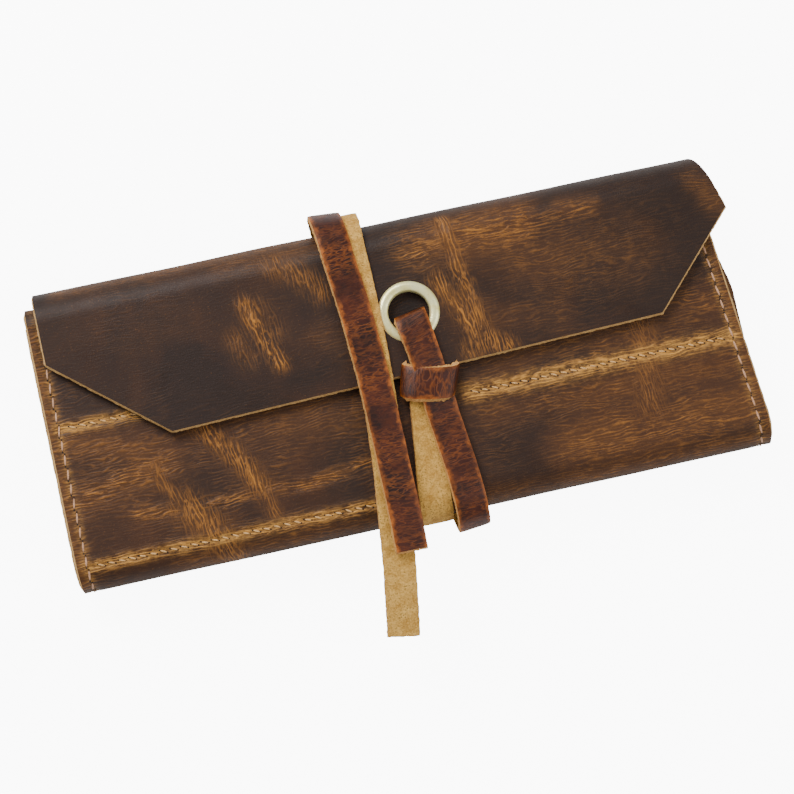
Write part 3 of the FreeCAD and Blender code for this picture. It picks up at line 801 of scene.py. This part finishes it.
# ---- Strap: smooth on one face, suede on the other -------------------------------------
# One long thong. Its two lengths leave the knot, go round the bottom fold, under the roll and
# up over the top fold, and end on the front. Every line below is that of its outer face.
under_low, under_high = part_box("strap_outer_over")
STRAP_WIDTH = under_high.x - under_low.x
STRAP = 1.8 * MM
# how far the strap wanders sideways, frays, waves and is rounded at its edges, in millimetres
STRAP_DRIFT = 0.25
STRAP_RAG = 0.12
STRAP_WAVE = 0.12
STRAP_ROUNDING = 0.22


def strap_line(points):
    """A smooth line through the given points (millimetres): distances along it, and places."""
    p = np.array(points, float) * MM
    p = np.vstack([2 * p[0] - p[1], p, 2 * p[-1] - p[-2]])
    t = np.linspace(0, 1, 24, endpoint=False)[:, None]
    runs = []
    for a, b, c, d in zip(p, p[1:], p[2:], p[3:]):
        square, cube = 2 * a - 5 * b + 4 * c - d, 3 * b - a - 3 * c + d
        runs.append(0.5 * (2 * b + (c - a) * t + square * t ** 2 + cube * t ** 3))
    line = np.vstack([*runs, p[-2:-1]])
    steps = np.linalg.norm(np.diff(line, axis=0), axis=1)
    stations = np.concatenate([[0], np.cumsum(steps)])
    return stations, line, stations[::24]


def strap_piece(name, strap, span, finishes, seed, cell=0.8 * MM, bank=(0, 0)):
    """A stretch of a strap, between two of its points; bank tips it across, in degrees along it."""
    stations, line, stops = strap
    first, last = stops[span[0]], stops[span[1]]
    piece = mesh_object(name, sheet_grid(name, (-STRAP_WIDTH / 2, STRAP_WIDTH / 2), (first, last), cell))
    flat = corners(piece)
    u, s = flat[:, 0], flat[:, 1]

    def on_line(at):
        return np.stack([np.interp(at, stations, line[:, k]) for k in range(3)], axis=1)

    tangent = on_line(s + 0.6 * MM) - on_line(s - 0.6 * MM)
    tangent /= np.linalg.norm(tangent, axis=1)[:, None]
    across = np.array([1.0, 0, 0]) - tangent * tangent[:, :1]
    across /= np.linalg.norm(across, axis=1)[:, None]
    up = np.cross(tangent, across)
    tip = np.radians(np.interp(s, np.linspace(first, last, len(bank)), bank))[:, None]
    across, up = across * np.cos(tip) + up * np.sin(tip), up * np.cos(tip) - across * np.sin(tip)
    drift = STRAP_DRIFT * grain_noise(np.zeros(len(s)), s, 1, 45, seed)
    rag = STRAP_RAG * np.sign(u) * grain_noise(np.sign(u), s, 1, 260, seed + 7)
    wave = STRAP_WAVE * grain_noise(u, s, 60, 130, seed + 3.3)
    round_edge = -STRAP_ROUNDING * (np.abs(u) / (STRAP_WIDTH / 2)) ** 8
    sideways = u + (drift + rag) * MM
    lift = (wave + round_edge) * MM
    place(piece, on_line(s) + across * sideways[:, None] + up * lift[:, None])
    mark(piece, "side", np.abs(u) / (STRAP_WIDTH / 2))
    thicken(piece, STRAP, finishes, 0.6 * MM)
    return piece


def smooth_strap_finish(name):
    """The strap's grain side: reddish brown, glossy, worn to orange beside its edges and at kinks."""
    f = Finish(name)
    flat = f.flat()
    clouds = f.cloud(flat, 55, 4, 0.65, 0.5)
    body = f.blend(f.between(clouds, 0.36, 0.66), (0.0145, 0.0033, 0.0021), (0.064, 0.0128, 0.0050))
    mottle = f.cloud(flat, 330, 4, 0.7)
    kinks = f.thread_lines(f.turned(flat, (0.22, 1, 1), 12), 700, 0.06)
    kinks_slant = f.thread_lines(f.turned(flat, (0.3, 1, 1), -30), 520, 0.05)
    patch = f.between(f.cloud(f.turned(flat, (0.3, 1, 1)), 60, 3, 0.6), 0.40, 0.70, 0.10, 1.0)
    uneven = f.calc("MULTIPLY", f.calc("SUBTRACT", mottle, 0.5), 0.9)
    rub = f.between(f.calc("ADD", f.painted("side"), uneven), 0.72, 1.02, 0.0, 0.85)
    rub = f.calc("MULTIPLY", rub, f.between(f.cloud(flat, 110, 3, 0.6), 0.38, 0.62, 0.25, 1.0))
    lines = f.calc("MULTIPLY", f.calc("MAXIMUM", kinks, f.calc("MULTIPLY", kinks_slant, 0.6)), patch)
    share = f.calc("MAXIMUM", rub, f.calc("MULTIPLY", lines, 0.45))
    color = f.blend(share, body, (0.50, 0.135, 0.014))
    f.feed(f.shader.inputs["Base Color"], color)
    f.feed(f.shader.inputs["Roughness"], f.between(mottle, 0.3, 0.7, 0.32, 0.48))
    f.shader.inputs["Specular IOR Level"].default_value = 0.27
    pores = f.cells(flat, 1500)
    height = f.calc("MULTIPLY", f.between(pores, 0, 0.35), 0.15)
    height = f.calc("ADD", height, f.calc("MULTIPLY", lines, -0.9))
    height = f.calc("ADD", height, f.calc("MULTIPLY", mottle, 0.25))
    f.feed(f.shader.inputs["Normal"], f.bump(height, 0.35, 0.00025))
    return f.material


strap_smooth = smooth_strap_finish("strap_smooth")
strap_suede = suede("strap_suede", (0.390, 0.195, 0.036), (0.74, 0.440, 0.108))
strap_edge = cut_edge("strap_edge", (0.44, 0.195, 0.052), (0.84, 0.470, 0.165))
SMOOTH_OUT = [strap_smooth, strap_suede, strap_edge]
SUEDE_OUT = [strap_suede, strap_smooth, strap_edge]

smooth_strap = strap_line([
    (12.9, -8.5, 32.9), (13.3, -14.5, 32.6), (14.0, -22, 31.4), (15.2, -34, 31.0), (16.3, -46, 31.3),
    (16.9, -55, 30.3), (17.1, -62.0, 27.0), (17.2, -65.8, 21.6), (17.2, -66.8, 15.5),
    (17.2, -65.4, 9.4), (16.9, -60.6, 3.6), (16.0, -52, 0.5), (14.5, -44, 0.1), (8, -22, 0.1), (0, 2, 0.1),
    (-8, 28, 0.1), (-14.0, 48, 0.1), (-14.3, 56.0, 0.9), (-14.8, 64.0, 4.4), (-15.2, 69.0, 10.4),
    (-15.5, 70.6, 17.9),
    (-15.4, 69.2, 25.4), (-15.2, 65.0, 31.8), (-14.7, 58.0, 35.6), (-14.1, 49.75, 36.4),
    (-13.0, 38, 36.4), (-11.7, 22, 36.4), (-10.8, 4, 36.4), (-10.3, -18, 36.4),
    (-10.2, -44, 36.4), (-10.4, -60, 36.4), (-10.5, -71, 36.3),
])
suede_strap = strap_line([
    (8.4, -8.5, 30.9), (7.9, -14.5, 30.4), (7.2, -21, 29.1), (5.6, -33, 28.8), (3.8, -46, 28.8),
    (3.3, -54, 27.6), (3.2, -59.4, 23.2), (3.2, -61.6, 15.5),
    (3.2, -60.2, 9.0), (3.0, -55.0, 3.9), (2.6, -47.8, 2.2), (1.2, -40, 2.1), (-1.6, -10, 2.1),
    (-4.6, 18, 2.1),
    (-8.9, 47.4, 2.2), (-8.9, 55.0, 2.8), (-8.9, 62.6, 6.2), (-8.9, 67.2, 11.6), (-8.9, 68.6, 17.9),
    (-8.9, 67.3, 24.6), (-8.9, 63.2, 29.8), (-8.9, 56.6, 32.8), (-8.9, 49.75, 33.6),
    (-8.8, 36, 33.6), (-8.9, 18, 33.6), (-9.4, 0, 33.6), (-10.7, -18, 33.6),
    (-12.8, -42, 33.6), (-15.9, -70, 32.9), (-18.4, -88, 31.2), (-21.0, -103, 28.6),
])
smooth_tail = strap_piece("smooth_tail_strap", smooth_strap, (0, 8), SMOOTH_OUT, 2.0, bank=(-7, -6))
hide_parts("tail_smooth")
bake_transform(smooth_tail)
suede_tail = strap_piece("suede_tail_strap", suede_strap, (0, 7), SUEDE_OUT, 5.0)
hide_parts("tail_suede")
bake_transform(suede_tail)
under_smooth = strap_piece("under_smooth_strap", smooth_strap, (8, 20), SMOOTH_OUT, 11.0, 1.1 * MM,
                           bank=(-6, 0, 0, 0, 0, -4))
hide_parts("strap_outer_under", "strap_outer_over")
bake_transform(under_smooth)
under_suede = strap_piece("under_suede_strap", suede_strap, (7, 18), SUEDE_OUT, 14.0, 1.1 * MM)
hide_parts("strap_inner_under", "strap_inner_over")
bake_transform(under_suede)
over_smooth = strap_piece("over_smooth_strap", smooth_strap, (20, 24), SMOOTH_OUT, 11.0, bank=(-4, -8))
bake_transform(over_smooth)
over_suede = strap_piece("over_suede_strap", suede_strap, (18, 22), SUEDE_OUT, 14.0)
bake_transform(over_suede)
smooth_end = strap_piece("smooth_strap_end", smooth_strap, (24, 31), SMOOTH_OUT, 11.0, bank=(-8, -8))
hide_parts("strap_outer_end")
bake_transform(smooth_end)
suede_end = strap_piece("suede_strap_end", suede_strap, (22, 30), SUEDE_OUT, 14.0)
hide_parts("strap_inner_end")
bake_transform(suede_end)


# ---- Tie: the loop out of the grommet, and the knot ------------------------------------
# The loop comes up through the grommet, folds over its ring and goes down into the knot, which
# is a turn of the same strap wound round both layers.
loop_line = strap_line([
    (10.9, -12, 29.1), (10.8, -5, 28.9), (10.2, 2, 28.0), (9.6, 10, 27.4), (9.2, 15.5, 27.2),
    (9.0, 20.0, 28.2), (9.0, 22.4, 30.9), (9.0, 21.4, 33.8), (9.4, 17.5, 35.2), (10.6, 10, 35.5),
    (11.6, 3, 34.9), (12.2, -3, 33.9), (12.7, -9, 33.1), (12.9, -13, 33.0),
])
tie_loop = strap_piece("loop_strap", loop_line, (0, 13), SMOOTH_OUT, 31.0, 0.6 * MM, (0, -9))
# the loop's bend lies at a slant over the ring
SLANT = 0.26
SLANT_X = 9.5 * MM
SLANT_START, SLANT_LENGTH = 6 * MM, 12 * MM
co = corners(tie_loop)
slant = np.clip((co[:, 1] - SLANT_START) / SLANT_LENGTH, 0, 1)
co[:, 1] += SLANT * (co[:, 0] - SLANT_X) * slant
place(tie_loop, co)
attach(tie_loop, "flap")
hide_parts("tie_loop")

KNOT = Vector((11.0, -5.6, 31.0)) * MM
KNOT_WIDE = 23.0 * MM
KNOT_HIGH = 8.4 * MM
KNOT_LONG = 12.4 * MM
KNOT_TURN = math.radians(-12)
KNOT_SHEAR = 0.58
KNOT_FLARE = 0.03
KNOT_LEAN = 0.12
KNOT_ROUNDING = 0.80
around = math.pi * (KNOT_WIDE + KNOT_HIGH) / 2
knot_sheet = sheet_grid("knot", (-KNOT_LONG / 2, KNOT_LONG / 2), (0, around), 0.5 * MM)
tie_knot = mesh_object("knot_strap", knot_sheet)
flat = corners(tie_knot)
u, s = flat[:, 0], flat[:, 1]
angle = -math.pi / 2 - s / around * 2 * math.pi
ridge = 0.20 * MM * grain_noise(u, s, 50, 300, 6.1) - 0.25 * MM * (np.abs(u) / (KNOT_LONG / 2)) ** 6
flare = 1 + KNOT_FLARE * u / (KNOT_LONG / 2)
squash = np.abs(np.cos(angle)) ** KNOT_ROUNDING * np.sign(np.cos(angle))
kx = squash * (KNOT_WIDE / 2 * flare + ridge)
kz = np.sin(angle) * (KNOT_HIGH / 2 + ridge)
ky = u - KNOT_SHEAR * kz + 0.25 * MM * grain_noise(s, u, 90, 10, 2.9)
px = KNOT.x + kx * math.cos(KNOT_TURN) - ky * math.sin(KNOT_TURN) + KNOT_LEAN * ky
py = KNOT.y + kx * math.sin(KNOT_TURN) + ky * math.cos(KNOT_TURN)
place(tie_knot, np.stack([px, py, KNOT.z + kz], axis=1))
mark(tie_knot, "side", np.abs(u) / (KNOT_LONG / 2))
thicken(tie_knot, 0.85 * STRAP, SMOOTH_OUT, 1.2 * MM)
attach(tie_knot, "flap")
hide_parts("tie_knot")


# ---- Grommet: the ring and its washer --------------------------------------------------
# A domed ring with a rolled lip into its bore, of pale brass that is darker where it has
# dulled. The washer under the flap keeps its own shape and takes the same brass.
def brass_finish(name):
    """Pale brass with soft tarnish and fine specks."""
    f = Finish(name)
    place = f.place()
    tarnish = f.cloud(place, 210, 4, 0.65, 0.4)
    fine = f.cloud(place, 1900, 3, 0.7)
    color = f.blend(f.between(tarnish, 0.40, 0.70), (1.0, 0.96, 0.52), (0.80, 0.70, 0.24))
    color = f.blend(f.between(fine, 0.60, 0.75, 0, 0.5), color, (0.30, 0.24, 0.11))
    f.feed(f.shader.inputs["Base Color"], color)
    f.shader.inputs["Metallic"].default_value = 0.5
    f.feed(f.shader.inputs["Roughness"], f.between(tarnish, 0.3, 0.7, 0.24, 0.44))
    f.feed(f.shader.inputs["Normal"], f.bump(fine, 0.25, 0.0001))
    return f.material


brass = brass_finish("pale_brass")
ring = bmesh.new()
R_OUT, R_BORE = GROMMET_R + 0.4 * MM, 8.3 * MM
# the ring's outline, from its outer edge into the bore: radius, and millimetres above the flap
profile = [(R_OUT, -0.1), (R_OUT - 0.12 * MM, 0.12), (R_OUT - 0.6 * MM, 0.55), (R_OUT - 1.3 * MM, 0.86),
           (R_OUT - 1.9 * MM, 0.9), (R_BORE + 0.9 * MM, 0.80), (R_BORE + 0.45 * MM, 0.55),
           (R_BORE + 0.12 * MM, 0.05), (R_BORE, -0.6), (R_BORE, -2.3)]
rim = [ring.verts.new((GROMMET.x + r, GROMMET.y, flap_high.z + h * MM)) for r, h in profile]
edges = [ring.edges.new(pair) for pair in zip(rim, rim[1:])]
bmesh.ops.spin(ring, geom=rim + edges, cent=(GROMMET.x, GROMMET.y, 0), axis=(0, 0, 1), angle=2 * math.pi,
               steps=72, use_merge=True)
bmesh.ops.recalc_face_normals(ring, faces=ring.faces)
grommet_ring = mesh_object("grommet_ring", ring, flat_uv=False)
for face in grommet_ring.data.polygons:
    face.use_smooth = True
grommet_ring.data.materials.append(brass)
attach(grommet_ring, "flap")
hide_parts("grommet_face")
washer = bpy.data.objects["grommet_washer"]
for slot in washer.material_slots:
    slot.material = brass


# ---- Camera and light ------------------------------------------------------------------
# The roll is seen from almost straight above, turned a little, on a plain pale table under
# two broad soft lamps.
CAMERA_PLACE = (-0.0711, -0.1216, 1.0129)
CAMERA_TURN = (0.1252, -0.0429, -0.2189)
CAMERA_LENS = 112.84
SENSOR = 36.0
SKY_STRENGTH = 0.55
TABLE_HALF = 1.5
PAPER_GREY = 0.90
PAPER_GLOW = 9.0
camera_data = bpy.data.cameras.new("camera")
camera_data.lens = CAMERA_LENS
camera_data.sensor_width = SENSOR
camera_data.clip_start = 0.01
camera = bpy.data.objects.new("camera", camera_data)
camera.location = CAMERA_PLACE
camera.rotation_euler = Euler(CAMERA_TURN)
bpy.context.scene.collection.objects.link(camera)
bpy.context.scene.camera = camera


def soft_lamp(name, place, size, power):
    """A square lamp that faces the middle of the roll."""
    data = bpy.data.lights.new(name, "AREA")
    data.shape = "SQUARE"
    data.size = size
    data.energy = power
    lamp = bpy.data.objects.new(name, data)
    lamp.location = place
    lamp.rotation_euler = (-Vector(place)).to_track_quat("-Z", "Y").to_euler()
    bpy.context.scene.collection.objects.link(lamp)


soft_lamp("key", (-0.45, 0.85, 0.95), 0.7, 19)
soft_lamp("fill", (0.9, -0.35, 0.9), 1.1, 7)
world = bpy.data.worlds.new("studio")
world.use_nodes = True
world.node_tree.nodes["Background"].inputs["Color"].default_value = (1, 1, 1, 1)
world.node_tree.nodes["Background"].inputs["Strength"].default_value = SKY_STRENGTH
bpy.context.scene.world = world

table_mesh = bmesh.new()
bmesh.ops.create_grid(table_mesh, x_segments=1, y_segments=1, size=TABLE_HALF)
table = mesh_object("table", table_mesh, flat_uv=False)
paper = Finish("paper")
paper.shader.inputs["Base Color"].default_value = (PAPER_GREY, PAPER_GREY, PAPER_GREY, 1)
paper.shader.inputs["Roughness"].default_value = 0.9
paper.shader.inputs["Emission Color"].default_value = (1, 1, 1, 1)
# the paper glows for the camera alone, so it looks white and throws no light on the roll
seen = paper.node("ShaderNodeLightPath").outputs["Is Camera Ray"]
paper.feed(paper.shader.inputs["Emission Strength"], paper.calc("MULTIPLY", seen, PAPER_GLOW))
table.data.materials.append(paper.material)
